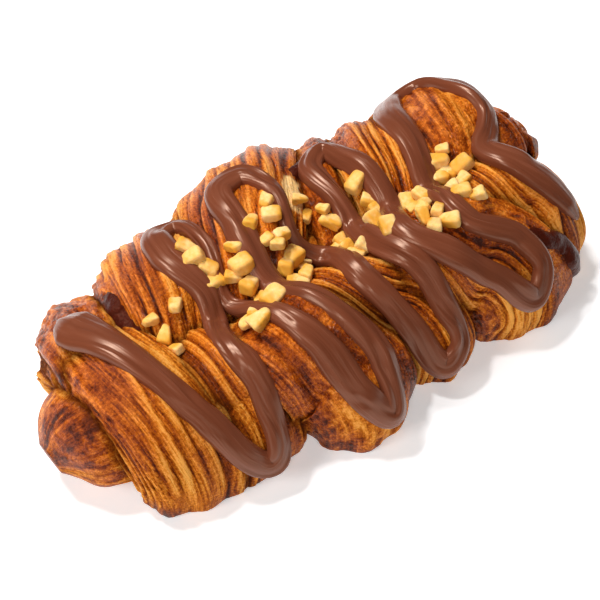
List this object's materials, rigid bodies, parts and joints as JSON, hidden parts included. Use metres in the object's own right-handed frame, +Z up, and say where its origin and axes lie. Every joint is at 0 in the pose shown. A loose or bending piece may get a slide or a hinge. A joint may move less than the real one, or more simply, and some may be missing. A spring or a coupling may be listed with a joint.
{
  "type": "pastry twist",
  "caption": "Plaited bar of flaky laminated pastry with a dark filling, topped with a zigzag of nougat cream and chopped nuts.",
  "frame": {"origin": "middle of the underside, on the surface that the pastry rests on", "axes": "+X along the bar towards the end where the filling shows, +Y across it towards the far long side, +Z up"},
  "size_m": [0.184, 0.1039, 0.0462],
  "materials": {
    "dough": "egg-washed baked crust, satin to glossy on the tops",
    "filling": "dark nougat filling, baked and glossy"
  },
  "bodies": {
    "root": {"pastry_twist": "dough", "dark_filling": "filling"}
  },
  "joints": []
}
